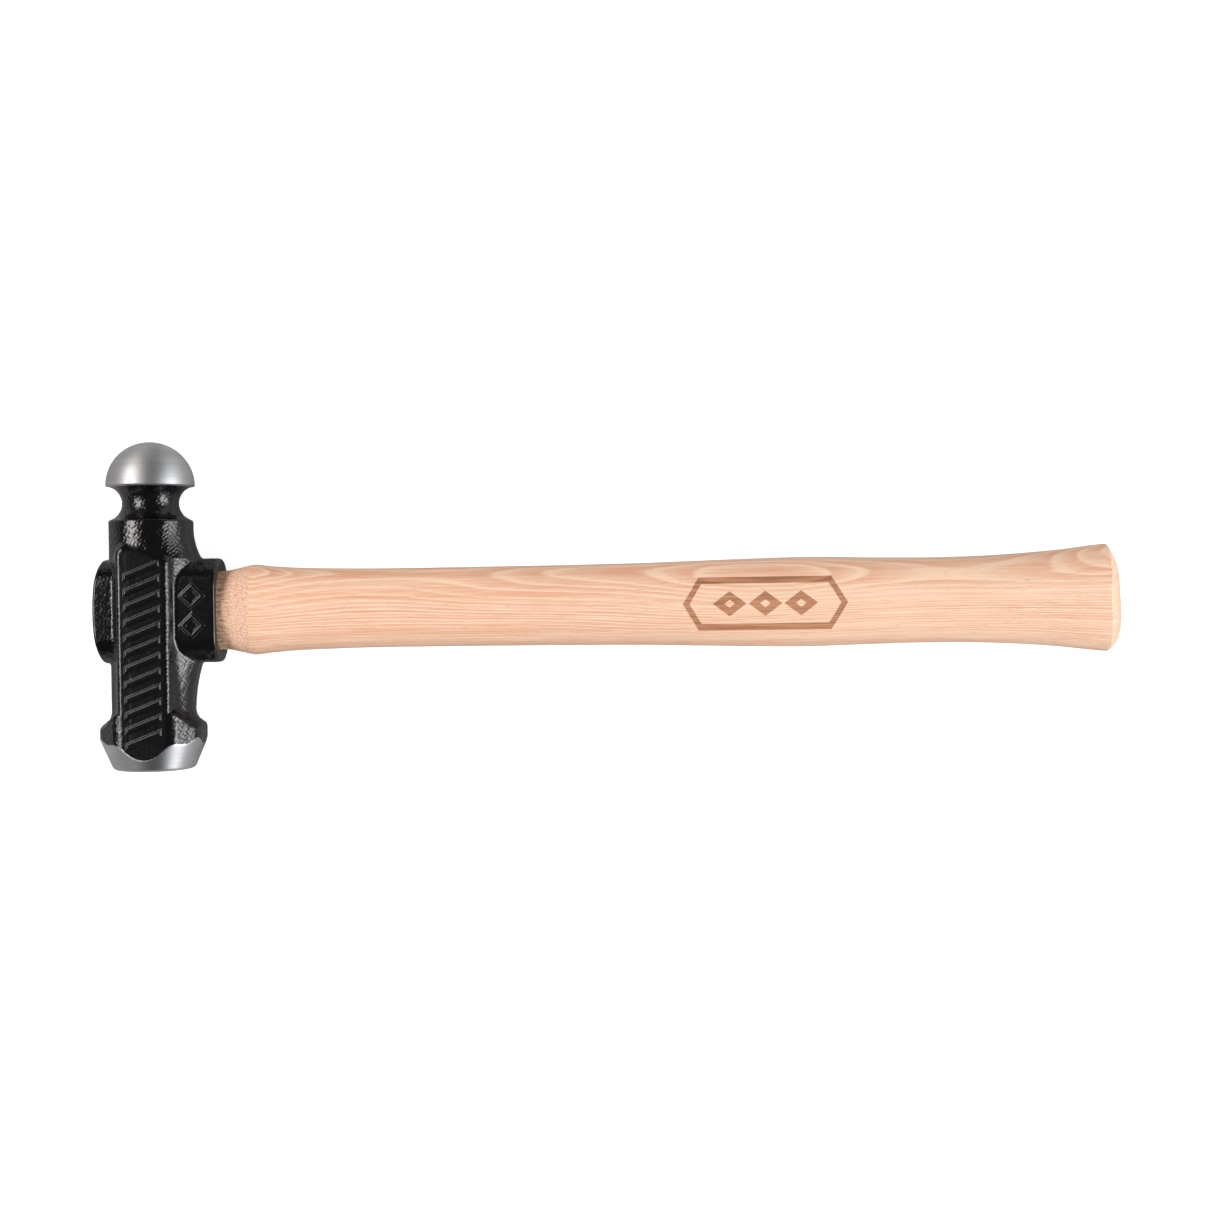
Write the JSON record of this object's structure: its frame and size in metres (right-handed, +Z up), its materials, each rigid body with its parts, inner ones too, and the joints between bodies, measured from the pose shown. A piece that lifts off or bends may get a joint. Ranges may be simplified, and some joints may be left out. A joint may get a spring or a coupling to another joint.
{
  "type": "ball peen hammer",
  "caption": "Ball peen hammer: black painted forged head with a bare ball and a bare bevelled face, wedged on an oval wooden handle that flares at the butt.",
  "frame": {"origin": "on the flat lower cheek of the head, directly under the middle of the eye; the hammer lies on that cheek", "axes": "+X along the handle from the head to the butt, +Y along the head from the striking face to the ball, +Z up, away from the cheek that the hammer lies on"},
  "size_m": [0.4044, 0.1301, 0.0356],
  "materials": {
    "black_paint": "gloss",
    "hickory": "satin",
    "wedge_wood": "matte",
    "wedge_steel": "satin"
  },
  "bodies": {
    "root": {"forged_head": "black_paint", "handle": "hickory", "wooden_wedge": "wedge_wood", "steel_wedge_ball_side": "wedge_steel", "steel_wedge_face_side": "wedge_steel"}
  },
  "joints": []
}
